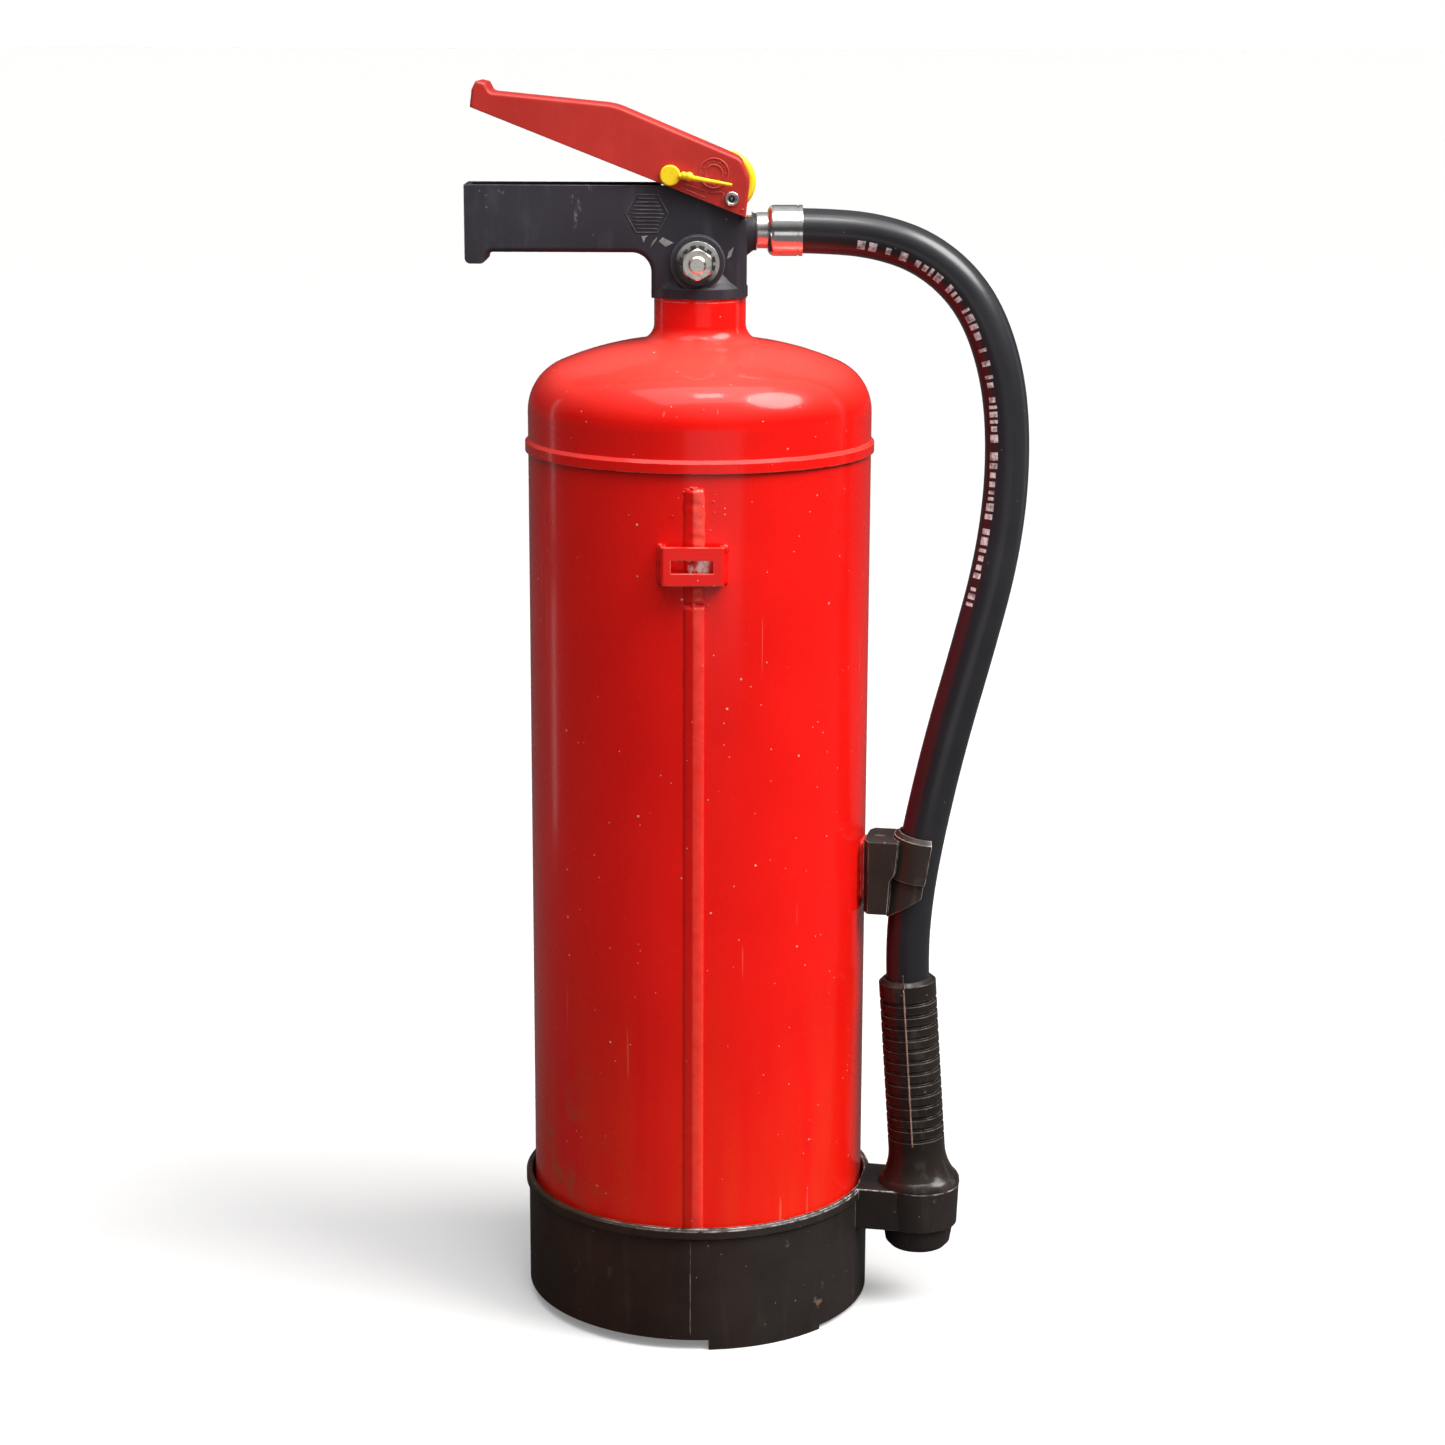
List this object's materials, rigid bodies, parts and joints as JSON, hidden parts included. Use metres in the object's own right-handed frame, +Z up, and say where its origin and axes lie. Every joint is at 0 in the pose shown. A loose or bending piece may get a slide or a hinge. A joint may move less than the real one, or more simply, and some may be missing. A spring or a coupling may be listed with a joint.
{
  "type": "fire extinguisher",
  "caption": "Upright stored-pressure powder fire extinguisher with squeeze lever valve, safety pin, side hose with ribbed nozzle grip, wall bracket and rubber base ring.",
  "frame": {"origin": "on the floor, at the centre of the upright vessel", "axes": "+Z up along the vessel, the carrying handle points to -X, the hose leaves towards +X, the wall bracket faces -Y and the gauge +Y"},
  "size_m": [0.2606, 0.1705, 0.5841],
  "materials": {
    "red_paint": "glossy red powder coat over steel sheet, a little dusty",
    "powder": "loose dry powder",
    "brass": "turned brass",
    "seal_rubber": "nitrile rubber",
    "steel": "bright turned steel",
    "zinc_steel": "zinc plated steel, slightly weathered",
    "dip_plastic": "natural plastic",
    "black_plastic": "moulded nylon, fine texture, scuffed",
    "red_plastic": "moulded nylon, satin",
    "yellow_plastic": "moulded polyethylene",
    "gauge_metal": "nickel plated",
    "dial_face": "printed dial",
    "needle_black": "black pointer",
    "clear_lens": "clear lens",
    "ferrule_chrome": "polished chrome",
    "hose_rubber": "smooth satin rubber",
    "grip_rubber": "moulded rubber, dusty",
    "tip_plastic": "black plastic",
    "boot_rubber": "moulded rubber, dusty and worn at the rim",
    "clip_plastic": "moulded plastic, worn edges"
  },
  "bodies": {
    "extinguisher": {"cylinder_shell": "red_paint", "top_dome": "red_paint", "bottom_dome": "red_paint", "neck_ring": "red_paint", "wall_bracket": "red_paint", "powder_charge": "powder", "valve_body": "brass", "seal_nut": "brass", "stem_o_ring": "seal_rubber", "neck_o_ring": "seal_rubber", "dip_tube_adapter": "brass", "valve_spring": "steel", "dip_tube": "dip_plastic", "carrying_handle": "black_plastic", "lever_pivot_pin": "steel", "stud_bolt": "zinc_steel", "flat_washer": "zinc_steel", "lock_washer": "zinc_steel", "hex_nut": "zinc_steel", "gauge_case": "gauge_metal", "bourdon_tube": "brass", "gauge_dial": "dial_face", "gauge_lens": "clear_lens", "gauge_bezel": "gauge_metal", "gauge_seal": "seal_rubber", "hose_nipple": "steel", "outlet_seal": "seal_rubber", "hose_ferrule": "ferrule_chrome", "hose": "hose_rubber", "base_ring": "boot_rubber", "clip_bracket": "red_paint", "clip_screw": "steel", "hose_clip": "clip_plastic"},
    "lever": {"operating_lever": "red_plastic"},
    "pin": {"safety_pin": "steel", "pull_ring": "yellow_plastic"},
    "seal_tag": {"tamper_seal": "yellow_plastic"},
    "stem": {"valve_stem": "brass", "valve_seal": "seal_rubber"},
    "pointer": {"gauge_needle": "needle_black", "needle_shaft": "steel"},
    "nozzle": {"nozzle_grip": "grip_rubber", "nozzle_tip": "tip_plastic"}
  },
  "joints": [
    {"name": "lever_squeeze", "type": "hinge", "parent": "extinguisher", "child": "lever", "pos_m": [0.0145, 0, 0.5323], "axis": [0, -1, 0], "range_deg": [0, 15], "stiffness_Nm_per_rad": 1.2, "springref_deg": -6.88},
    {"name": "valve_open", "type": "slide", "parent": "extinguisher", "child": "stem", "axis": [0, 0, -1], "range_m": [0, 0.0038], "deforming": ["valve_spring"]},
    {"name": "safety_pin_pull", "type": "slide", "parent": "lever", "child": "pin", "axis": [0, 1, 0], "range_m": [0, 0.05]},
    {"name": "seal_pull", "type": "slide", "parent": "lever", "child": "seal_tag", "axis": [0, -1, 0], "range_m": [0, 0.02]},
    {"name": "gauge_pointer", "type": "hinge", "parent": "extinguisher", "child": "pointer", "pos_m": [0, 0.0295, 0.504], "axis": [0, 1, 0], "range_deg": [-75, 60], "stiffness_Nm_per_rad": 0.0005},
    {"name": "nozzle_lift", "type": "slide", "parent": "extinguisher", "child": "nozzle", "axis": [0.11, -0.0205, 0.9937], "range_m": [0, 0.03], "deforming": ["hose"]}
  ],
  "couplings": [
    {"joint": "valve_open", "follows": "lever_squeeze", "m_per_rad": 0.01446}
  ]
}
